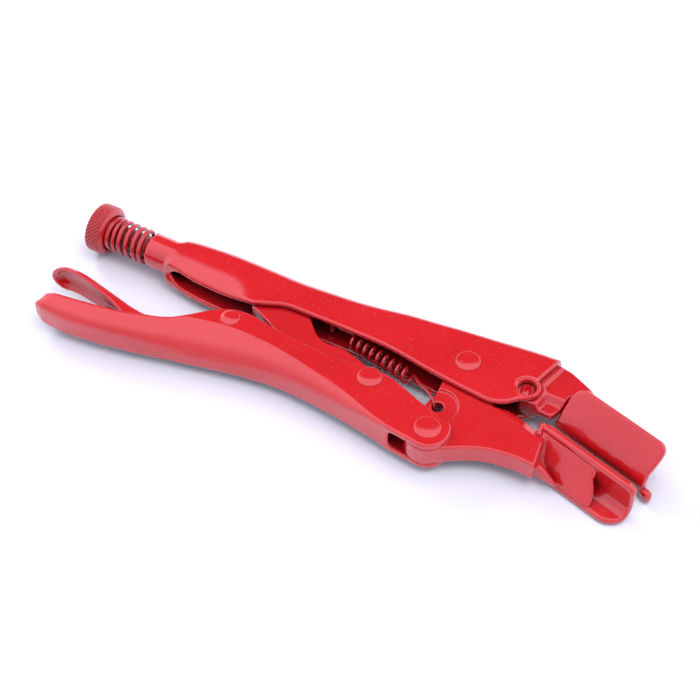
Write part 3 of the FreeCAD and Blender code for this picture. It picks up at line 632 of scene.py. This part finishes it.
# ======================================================================= welds
def bead_path(g, pts, r, pitch, seed=0.0, squash=1.0):
    """A run of overlapping weld drops along pts (x, y, z)."""
    p = np.array(pts, float)
    d = np.sqrt(((p[1:] - p[:-1]) ** 2).sum(1))
    cum = np.concatenate([[0], np.cumsum(d)])
    f = None
    k = 0
    u = 0.0
    while u <= cum[-1]:
        i = min(np.searchsorted(cum, u, side="right") - 1, len(d) - 1)
        q = p[i] + (p[i + 1] - p[i]) * (u - cum[i]) / d[i]
        rr = r * (1 + 0.13 * math.sin(k * 2.1 + seed) + 0.08 * math.sin(k * 5.3 + seed))
        o = 0.15 * r * np.array([math.sin(k * 1.9 + seed), math.cos(k * 2.7 + seed), math.sin(k * 3.7 + seed)])
        e = np.sqrt((g.x - q[0] - o[0]) ** 2 + (g.y - q[1] - o[1]) ** 2 + (g.z - q[2] - o[2]) ** 2) - rr
        f = e if f is None else smin(f, e, 0.35 * r)
        u += pitch
        k += 1
    return f


def mplace(s, c, z):
    return (LP[0] + s * UX - c * NX, LP[1] + s * UY - c * NY, z)


def fplace(s, c, z):
    return (FP[0] + s * UX + c * NX, FP[1] + s * UY + c * NY, z)


def welds():
    # left end of the moving plate
    g = Grid((34.5, -18.5, -6.0), (41.5, -9.0, 6.8), 0.24)
    f = bead_path(g, [mplace(-21.9, 1.6, -3.6), mplace(-21.8, 1.6, 4.4)], 1.35, 1.15, 0.4)
    f = smin(f, bead_path(g, [mplace(-21.7, 1.6, 4.5), mplace(-21.2, 3.6, 4.3), mplace(-20.8, 5.0, 3.6)], 1.15, 1.0, 1.4), 0.5)
    keep(mesh_field("moving_plate_end_weld", g, f, 0.6), "jaw", ["moving_plate_weld"], "jaw_enamel")
    # outer end of the fixed plate
    g = Grid((76.5, -19.5, -11.2), (86.5, -8, -4.0), 0.26)
    q = fplace(21.0 + 1.75, 0.6, -7.8)
    f = rint(cyl_z(g, (q[0], q[1]), 1.95) + 0 * g.z, np.abs(g.z + 7.6) - 2.6, 1.7)
    q2 = fplace(21.0 - 0.2, 0.9, -7.8)
    f = smin(f, rint(cyl_z(g, (q2[0], q2[1]), 1.5) + 0 * g.z, np.abs(g.z + 7.6) - 2.3, 1.2), 1.2)
    f = f + 0.05 * wob(g.x, g.y, g.z, 3.0, 1.0)
    keep(mesh_field("fixed_plate_end_bead", g, f, 0.5), "frame", ["plate_end_bead"], "jaw_enamel")
    # under the fixed plate's wall, where the forging meets it
    g = Grid((40, -17.5, -9.0), (79, 3.0, -3.4), 0.32)
    f = bead_path(g, [fplace(-17.2, 4.3, -5.3), fplace(16.2, 4.3, -5.3)], 1.25, 1.3, 2.0)
    keep(mesh_field("fixed_plate_weld_run", g, f, 0.5), "frame", ["fixed_plate_weld"], "jaw_enamel")
    # plug welds in the handle's front holes
    for nm, sg in (("front", 1), ("back", -1)):
        g = Grid((21.2, -4.6, 2.0 if sg > 0 else -7.2), (29.4, 3.8, 7.2 if sg > 0 else -2.0), 0.2)
        az = g.z * sg
        R = cyl_z(g, (25.3, -0.4), 3.42) + 0 * g.z
        swirl = 0.28 * np.sin((g.x - 25.3) * 3.0 + (g.y + 0.4) * 1.0) * np.exp(-((g.x - 25.3) ** 2 + (g.y + 0.4) ** 2) / 14)
        dome_h = 4.85 + 0.9 * np.exp(-(((g.x - 25.7) / 1.5) ** 2 + ((g.y + 1.3) / 1.5) ** 2)) + swirl
        f = np.maximum(np.maximum(R, (az - dome_h) * 0.8), 2.3 - az)
        ob = mesh_field("plug_weld_" + nm, g, f, 0.6)
        keep(ob, "frame", ["plug_welds"], "jaw_enamel")


# ===================================================================== rivets
def rivet(name, c, r, rs, body, node, seed):
    n = 72
    h = 1.12
    prof = [(0.0, h)] + [(r * q, h - 0.60 * h * (q / 0.93) ** 2.15) for q in (0.12, 0.24, 0.36, 0.48, 0.6, 0.7, 0.79, 0.86, 0.91)] + [
            (r * 0.955, h * 0.35), (r * 0.985, h * 0.22), (r, 0.06), (r * 0.99, -0.06), (r * 0.9, -0.1), (rs, -0.1)]
    v, f = [], []
    rings = []
    for sg in (1, -1):
        pr = prof if sg > 0 else prof[::-1]
        for (rr, zz) in pr:
            if rr == 0.0:
                continue
            ring = []
            for k in range(n):
                a = 2 * math.pi * k / n
                w = 1 + 0.006 * math.sin(3 * a + seed) + 0.004 * math.sin(7 * a + 2 * seed)
                ring.append((c[0] + rr * w * math.cos(a), c[1] + rr * w * math.sin(a), sg * (HALF_W + zz - 0.02 * (1 + math.sin(a * 2 + seed)) * (rr / r))))
            rings.append(ring)
    v, f = loft(rings)
    ob = mesh_direct(name, v, [q[::-1] for q in f])
    # the two fan centres sit on the crowns
    me = ob.data
    top = [i for i in range(len(me.vertices) - 2, len(me.vertices))]
    zs = (OZ + HALF_W + h) / 1000, (OZ - HALF_W - h) / 1000
    me.vertices[top[0]].co.z = zs[0]
    me.vertices[top[1]].co.z = zs[1]
    return keep(ob, body, [node], "rivet_enamel")


# ============================================================ screw, knob, coils
def revolve_x(name, prof, n, disp=None, y=SCREW_Y):
    """Closed solid about the screw axis from (x, r) points; disp(x, r, angle) adds to r."""
    rings = []
    for x, r in prof:
        ring = []
        for k in range(n):
            a = 2 * math.pi * k / n
            rr = r + (disp(x, r, a) if disp else 0.0)
            ring.append((x, y + rr * math.cos(a), rr * math.sin(a)))
        rings.append(ring)
    v, f = loft(rings)
    return mesh_direct(name, v, [q[::-1] for q in f])


def tri(u):
    u = u - math.floor(u)
    return 1 - abs(2 * u - 1)


def screw():
    # knurled knob
    x0, x1, R = -170.4, -162.7, 10.5
    prof = [(x0, 1.2), (x0, 4.0), (x0 + 0.02, 7.6), (x0 + 0.10, 8.9), (x0 + 0.3, 9.55), (x0 + 0.55, 10.0)]
    a0, a1 = x0 + 0.7, x1 - 0.9
    m = 36
    prof += [(a0 + (a1 - a0) * k / m, R) for k in range(m + 1)]
    prof += [(x1 - 0.75, 10.05), (x1 - 0.35, 9.7), (x1 - 0.05, 9.2), (x1 + 0.25, 8.5), (x1 + 0.35, 7.9), (x1 + 0.2, 7.5),
             (x1 - 0.95, 7.4), (x1 - 1.0, 7.2), (x1 - 1.0, 5.2), (x1 - 0.8, 4.6)]
    teeth = 36

    def knurl(x, r, a):
        if r < R - 1e-6:
            return 0.02 * math.sin(5 * a + x)
        u = teeth * a / (2 * math.pi)
        w = (x - a0) / 1.8
        g = min(tri(u + w), tri(u - w))
        edge = min(1.0, (x - a0) / 0.35 + 0.15, (a1 - x) / 0.35 + 0.15)
        return -0.70 + 0.70 * min(1.0, g * 1.9) - 0.12 * (1 - edge)
    ob = revolve_x("adjusting_knob", prof, 480, knurl)
    keep(ob, "screw", ["adjusting_screw"], "screw_enamel")
    # threaded shank
    p = 1.5875
    n = 56
    x, xs = -163.4, []
    while x < -88.9:
        xs.append(x)
        x += p / 9
    prof = [(xx, 4.74) for xx in xs] + [(-88.75, 4.0), (-88.6, 3.2)]

    def thread(x, r, a):
        if r < 4.7:
            return 0.0
        g = tri(x / p - a / (2 * math.pi))
        return -0.85 + 0.85 * min(1.0, g * 1.25) - (0.5 if x > -89.6 else 0.0)
    ob = revolve_x("adjusting_screw_thread", prof, n, thread)
    keep(ob, "screw", ["adjusting_screw"], "screw_enamel")
    # loose seat ring between the knob and the coil
    prof = [(-163.4, 4.95), (-163.4, 6.6), (-163.25, 7.05), (-162.9, 7.28), (-161.0, 7.3), (-160.6, 7.1), (-160.4, 6.7), (-160.4, 4.95),
            (-161.5, 4.85), (-162.6, 4.85), (-163.4, 4.95)]
    rings = []
    for xx, rr in prof[:-1]:
        rings.append([(xx, SCREW_Y + rr * math.cos(2 * math.pi * k / 64), rr * math.sin(2 * math.pi * k / 64)) for k in range(64)])
    v = [q for r in rings for q in r]
    f = []
    nr = len(rings)
    for i in range(nr):
        for k in range(64):
            f.append((i * 64 + (k + 1) % 64, i * 64 + k, ((i + 1) % nr) * 64 + k, ((i + 1) % nr) * 64 + (k + 1) % 64))
    keep(mesh_direct("spring_seat_ring", v, f), "seat", ["spring_seat_collar"], "screw_enamel")


def wire(name, path, r, n=14):
    """Round wire along a path of points (mm), with rounded ends."""
    P = np.array(path, float)
    T = np.gradient(P, axis=0)
    T /= np.linalg.norm(T, axis=1)[:, None]
    up = np.array([0.0, 0.0, 1.0])
    if abs(T[0] @ up) > 0.9:
        up = np.array([1.0, 0, 0])
    a = np.cross(T[0], up)
    a /= np.linalg.norm(a)
    rings = []
    for i in range(len(P)):
        a = a - (a @ T[i]) * T[i]
        a /= np.linalg.norm(a)
        b = np.cross(T[i], a)
        e = 1.0
        if i == 0 or i == len(P) - 1:
            e = 0.55
        elif i == 1 or i == len(P) - 2:
            e = 0.88
        rings.append([tuple(P[i] + r * e * (math.cos(2 * math.pi * k / n) * a + math.sin(2 * math.pi * k / n) * b)) for k in range(n)])
    v, f = loft(rings)
    return mesh_direct(name, v, [q[::-1] for q in f])


def coils():
    # stout spring between the barrel and the seat ring, its end turns closed up
    pts = []
    n = 420
    turns = 5.0
    x0, x1, r, w = -160.3, -142.9, 6.5, 0.95
    for k in range(n + 1):
        u = k / n
        e = 0.03
        xx = u + 0.0
        # slower rise on the end turns
        q = (u - math.sin(2 * math.pi * u) * e)
        a = 2 * math.pi * turns * u + 0.5
        pts.append((x0 + w + (x1 - x0 - 2 * w) * q, SCREW_Y + r * math.cos(a), r * math.sin(a)))
    ob = wire("knob_coil_spring", pts, w, 16)
    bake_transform(ob)
    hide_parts("knob_spring")
    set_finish(ob, "screw_enamel")
    PIECES.append((ob, "enamel"))
    # thin return spring: coil, then a straight leg hooked into the jaw's hole
    SA, SB = (-47.0, -7.8), (-17.5, -13.5)
    L = math.hypot(SB[0] - SA[0], SB[1] - SA[1])
    d = ((SB[0] - SA[0]) / L, (SB[1] - SA[1]) / L)
    q = (-d[1], d[0])

    def P(u, v, z):
        return (SA[0] + d[0] * u + q[0] * v, SA[1] + d[1] * u + q[1] * v, z)
    path = []
    # left hook to the anchor pin
    for k in range(15):
        a = math.radians(200 - 14 * k)
        path.append((-57.5 + 1.9 * math.cos(a) - 0.2, -4.4 + 1.9 * math.sin(a), -0.2))
    path += [(-54.6, -5.2, 0.2), (-52.5, -5.0, 0.6), (-50.2, -5.3, 0.9), (-48.6, -5.0, 0.9)]
    turns, n = 9.0, 520
    a_start = math.pi / 2
    for k in range(n + 1):
        u = k / n
        a = a_start - 2 * math.pi * turns * u
        path.append(P(0.6 + (L - 1.2) * u, 2.95 * math.sin(a), 2.95 * math.cos(a)))
    path += [(-15.2, -12.9, 0.2), (-13.0, -14.6, 0.6), (-11.0, -15.9, 1.6), (-9.2, -17.1, 3.0), (-7.2, -18.7, 4.4), (-5.4, -20.3, 5.0), (-4.0, -21.5, 5.0),
             (-2.9, -22.5, 4.2), (-2.3, -23.2, 2.6), (-2.1, -23.6, 0.4), (-2.2, -23.8, -1.6)]
    Q = np.array(path)
    # even out the joins between the pieces of path
    for _ in range(3):
        Q[1:-1] = 0.25 * Q[:-2] + 0.5 * Q[1:-1] + 0.25 * Q[2:]
    ob = wire("return_coil_spring", [tuple(v) for v in Q], 0.55, 12)
    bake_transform(ob)
    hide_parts("return_spring")
    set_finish(ob, "screw_enamel")
    PIECES.append((ob, "enamel"))
    # anchor bar across the channel
    v, f = loft([[(-57.5 + rr * math.cos(2 * math.pi * k / 32), -4.4 + rr * math.sin(2 * math.pi * k / 32), z) for k in range(32)]
                 for rr, z in ((0.9, -4.6), (1.25, -4.4), (1.25, -1.0), (1.12, -0.8), (1.12, 0.8), (1.25, 1.0), (1.25, 4.4), (0.9, 4.6))])
    keep(mesh_direct("spring_anchor_bar", v, f), "frame", ["spring_anchor_pin"], "rivet_enamel")


upper_handle()
lower_handle()
release_lever()
toggle_link()
fixed_jaw_plate()
fixed_jaw()
moving_jaw_plate()
moving_jaw()
welds()
for nm, c, r, rs, body, node, sd in (("rivet_jaw_pivot", R1, 4.9, 3.2, "frame", "jaw_pivot_rivet", 0.3),
                                     ("rivet_link_pivot", R2, 4.8, 3.2, "handle", "link_pivot_rivet", 1.3),
                                     ("rivet_handle_pivot", R3, 5.1, 3.2, "handle", "handle_pivot_rivet", 2.1),
                                     ("rivet_lever_pivot", R4, 3.9, 2.6, "handle", "lever_pivot_rivet", 4.0)):
    rivet(nm, c, r, rs, body, node, sd)
screw()
coils()


# =================================================================== materials
def enamel(name, red, peel, peel_scale, rough, cast=0.0):
    m = bpy.data.materials.new(name)
    m.use_nodes = True
    nt = m.node_tree
    nt.nodes.clear()
    N, L = nt.nodes, nt.links
    out = N.new("ShaderNodeOutputMaterial")
    b = N.new("ShaderNodeBsdfPrincipled")
    L.new(b.outputs[0], out.inputs[0])
    tc = N.new("ShaderNodeTexCoord")
    geo = N.new("ShaderNodeNewGeometry")

    def noise(scale, detail=2.0, rough_=0.5):
        n = N.new("ShaderNodeTexNoise")
        n.inputs["Scale"].default_value = scale
        n.inputs["Detail"].default_value = detail
        n.inputs["Roughness"].default_value = rough_
        L.new(tc.outputs["Object"], n.inputs["Vector"])
        return n

    def ramp(src, stops):
        r = N.new("ShaderNodeValToRGB")
        e = r.color_ramp.elements
        e[0].position, e[0].color = stops[0][0], (*stops[0][1], 1)
        e[1].position, e[1].color = stops[-1][0], (*stops[-1][1], 1)
        for p_, c_ in stops[1:-1]:
            x = e.new(p_)
            x.color = (*c_, 1)
        L.new(src, r.inputs[0])
        return r

    def math_(op, a, b_=None, c_=None):
        n = N.new("ShaderNodeMath")
        n.operation = op
        for i, v in enumerate((a, b_, c_)):
            if v is None:
                continue
            if isinstance(v, (int, float)):
                n.inputs[i].default_value = v
            else:
                L.new(v, n.inputs[i])
        return n.outputs[0]

    def mix(f, a, b_):
        n = N.new("ShaderNodeMix")
        n.data_type = "RGBA"
        L.new(f, n.inputs[0])
        for sock, v in ((n.inputs[6], a), (n.inputs[7], b_)):
            if isinstance(v, tuple):
                sock.default_value = (*v, 1)
            else:
                L.new(v, sock)
        return n.outputs[2]

    r, g, bl = red
    broad = noise(38, 3)
    base = ramp(broad.outputs["Fac"], [(0.30, (r * 0.93, g * 0.80, bl * 0.80)), (0.5, (r, g, bl)), (0.72, (min(1, r * 1.03), g * 1.25, bl * 1.2))])
    # painted shade darkens the hollows and a painted pinkish highlight lightens the crests, both keyed on pointiness
    painted_shade_hollows = ramp(geo.outputs["Pointiness"], [(0.40, (1, 1, 1)), (0.475, (0, 0, 0))])
    painted_highlight_crests = ramp(geo.outputs["Pointiness"], [(0.53, (0, 0, 0)), (0.66, (1, 1, 1))])
    c = mix(math_("MULTIPLY", painted_shade_hollows.outputs[0], 0.55), base.outputs[0], (r * 0.62, g * 0.35, bl * 0.35))
    # painted highlight: crests lifted towards pink, standing in for the edge reflections
    c = mix(math_("MULTIPLY", painted_highlight_crests.outputs[0], 0.18), c, (min(1.0, r * 1.06), g * 3.2, bl * 2.6))
    # painted shade: paint deep inside the channels, where light hardly reaches, is darkened by ambient occlusion
    ao = N.new("ShaderNodeAmbientOcclusion")
    ao.samples = 6
    ao.inputs["Distance"].default_value = 0.016
    painted_shade_ao = ramp(ao.outputs["AO"], [(0.16, (1, 1, 1)), (0.52, (0, 0, 0))])
    c = mix(math_("MULTIPLY", painted_shade_ao.outputs[0], 0.86), c, (r * 0.10, g * 0.4, bl * 0.4))
    # dust nibs and pinholes caught in the paint
    fine = noise(1500, 1.0)
    nib_n = noise(900, 0.0)
    nib = ramp(nib_n.outputs["Fac"], [(0.80, (0, 0, 0)), (0.84, (1, 1, 1))])
    pin_n = noise(1100, 0.0)
    pin = ramp(pin_n.outputs["Fac"], [(0.185, (1, 1, 1)), (0.215, (0, 0, 0))])
    c = mix(math_("MULTIPLY", pin.outputs[0], 0.55), c, (r * 0.35, g * 0.3, bl * 0.3))
    # a few chips where crests get knocked
    chip_n = noise(260, 3.0, 0.6)
    chip = math_("MULTIPLY", ramp(chip_n.outputs["Fac"], [(0.70, (0, 0, 0)), (0.71, (1, 1, 1))]).outputs[0],
                 ramp(geo.outputs["Pointiness"], [(0.56, (0, 0, 0)), (0.60, (1, 1, 1))]).outputs[0])
    c = mix(chip, c, (0.30, 0.045, 0.045))
    L.new(c, b.inputs["Base Color"])
    ro = math_("ADD", math_("MULTIPLY", noise(95, 3).outputs["Fac"], 0.14), rough)
    ro = math_("ADD", ro, math_("MULTIPLY", chip, 0.35))
    L.new(ro, b.inputs["Roughness"])
    b.inputs["IOR"].default_value = 1.5
    b.inputs["Coat Weight"].default_value = 1.0
    b.inputs["Coat Roughness"].default_value = 0.03
    b.inputs["Coat IOR"].default_value = 1.5
    h = math_("MULTIPLY", noise(peel_scale, 2.0).outputs["Fac"], peel)
    h = math_("ADD", h, math_("MULTIPLY", noise(peel_scale * 0.28, 2.0).outputs["Fac"], peel * 1.6))
    if cast:
        h = math_("ADD", h, math_("MULTIPLY", noise(330, 4.0, 0.65).outputs["Fac"], cast))
    h = math_("ADD", h, math_("MULTIPLY", nib.outputs[0], 0.35))
    h = math_("SUBTRACT", h, math_("MULTIPLY", pin.outputs[0], 0.5))
    h = math_("SUBTRACT", h, math_("MULTIPLY", chip, 1.2))
    bump = N.new("ShaderNodeBump")
    bump.inputs["Strength"].default_value = 1.0
    bump.inputs["Distance"].default_value = 0.0001
    L.new(h, bump.inputs["Height"])
    L.new(bump.outputs[0], b.inputs["Normal"])
    L.new(bump.outputs[0], b.inputs["Coat Normal"])
    return m


RED = (0.560, 0.0065, 0.0110)
MATS = {
    "handle_enamel": enamel("red_enamel_pressed", RED, 0.22, 520, 0.10),
    "jaw_enamel": enamel("red_enamel_forged", (0.545, 0.0062, 0.0105), 0.34, 470, 0.13, 0.30),
    "rivet_enamel": enamel("red_enamel_rivet", (0.560, 0.0066, 0.0112), 0.26, 600, 0.10),
    "screw_enamel": enamel("red_enamel_screw", (0.500, 0.0058, 0.0100), 0.20, 700, 0.12),
}
for ob, _m in PIECES:
    ob.data.materials.clear()
    ob.data.materials.append(MATS[ob["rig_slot"]])
# every CAD node that is still shown gets the same paint
for nm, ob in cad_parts.items():
    ob.data.materials.clear()
    ob.data.materials.append(MATS["jaw_enamel"])

# ================================================================ floor, lights
CX, CY = OX / 1000, OY / 1000
size, n = 3.2, 16
v = [((i / n - 0.5) * size, (j / n - 0.5) * size, -0.00012) for j in range(n + 1) for i in range(n + 1)]
f = [(j * (n + 1) + i, j * (n + 1) + i + 1, (j + 1) * (n + 1) + i + 1, (j + 1) * (n + 1) + i) for j in range(n) for i in range(n)]
me = bpy.data.meshes.new("floor")
me.from_pydata(v, [], f)
floor = bpy.data.objects.new("floor", me)
bpy.context.scene.collection.objects.link(floor)
fm = bpy.data.materials.new("floor_white")
fm.use_nodes = True
fb = fm.node_tree.nodes["Principled BSDF"]
fn = fm.node_tree.nodes.new("ShaderNodeTexNoise")
fn.inputs["Scale"].default_value = 6
fr = fm.node_tree.nodes.new("ShaderNodeValToRGB")
fr.color_ramp.elements[0].color = (0.72, 0.725, 0.78, 1)
fr.color_ramp.elements[1].color = (0.75, 0.755, 0.81, 1)
fm.node_tree.links.new(fn.outputs["Fac"], fr.inputs[0])
fm.node_tree.links.new(fr.outputs[0], fb.inputs["Base Color"])
fb.inputs["Roughness"].default_value = 0.75
fb.inputs["Specular IOR Level"].default_value = 0.2
me.materials.append(fm)

world = bpy.data.worlds.new("studio")
bpy.context.scene.world = world
world.use_nodes = True
wn, wl = world.node_tree.nodes, world.node_tree.links
wn.clear()
wo = wn.new("ShaderNodeOutputWorld")
bg = wn.new("ShaderNodeBackground")
wl.new(bg.outputs[0], wo.inputs[0])
tc = wn.new("ShaderNodeTexCoord")


def dome_spot(direction, lo, hi):
    """1 where the dome lies within lo..hi of the direction (as cosines), 0 outside."""
    d = Vector(direction).normalized()
    dot = wn.new("ShaderNodeVectorMath")
    dot.operation = "DOT_PRODUCT"
    wl.new(tc.outputs["Generated"], dot.inputs[0])
    dot.inputs[1].default_value = d
    mr = wn.new("ShaderNodeMapRange")
    mr.interpolation_type = "SMOOTHSTEP"
    mr.inputs["From Min"].default_value = lo
    mr.inputs["From Max"].default_value = hi
    wl.new(dot.outputs["Value"], mr.inputs["Value"])
    return mr.outputs[0]


def wmix(f, a, b_):
    n_ = wn.new("ShaderNodeMix")
    n_.data_type = "RGBA"
    wl.new(f, n_.inputs[0])
    for sock, v_ in ((n_.inputs[6], a), (n_.inputs[7], b_)):
        if isinstance(v_, tuple):
            sock.default_value = (*v_, 1)
        else:
            wl.new(v_, sock)
    return n_.outputs[2]


dark = dome_spot((-0.33, 0.74, 0.585), math.cos(math.radians(33)), math.cos(math.radians(25)))
col = wmix(dark, (1.34, 1.36, 1.56), (0.14, 0.14, 0.15))
low = dome_spot((0.32, -0.93, 0.12), math.cos(math.radians(80)), math.cos(math.radians(28)))
col = wmix(low, col, (0.74, 0.75, 0.88))
wl.new(col, bg.inputs["Color"])
bg.inputs["Strength"].default_value = 1.0


def area(name, loc, target, size_, power, colour=(1, 1, 1)):
    l = bpy.data.lights.new(name, "AREA")
    l.shape = "DISK"
    l.size = size_
    l.energy = power
    l.color = colour
    o = bpy.data.objects.new(name, l)
    bpy.context.scene.collection.objects.link(o)
    o.location = loc
    o.visible_glossy = False
    o.rotation_mode = "QUATERNION"
    o.rotation_quaternion = (Vector(target) - Vector(loc)).to_track_quat("-Z", "Y")
    return o


area("key_soft", (-0.55, 0.25, 0.42), (0, 0, 0), 0.30, 1.8, (1.0, 0.99, 0.97))
area("fill_top", (0.35, -0.1, 0.95), (0, 0, 0), 0.55, 3.6, (1.0, 0.985, 0.95))

# ====================================================================== camera
cam_d = bpy.data.cameras.new("camera")
cam = bpy.data.objects.new("camera", cam_d)
bpy.context.scene.collection.objects.link(cam)
cam_d.lens = 77.967
cam_d.sensor_width = 36.0
cam_d.clip_start, cam_d.clip_end = 0.02, 20
cam.location = ((142.774 + OX) / 1000, (-344.077 + OY) / 1000, 0.46473)
back = Vector((0.31652, -0.55946, 0.76604))
cam.rotation_mode = "QUATERNION"
cam.rotation_quaternion = (-back).to_track_quat("-Z", "Y")
bpy.context.scene.camera = cam
bpy.context.scene.view_settings.view_transform = "Standard"
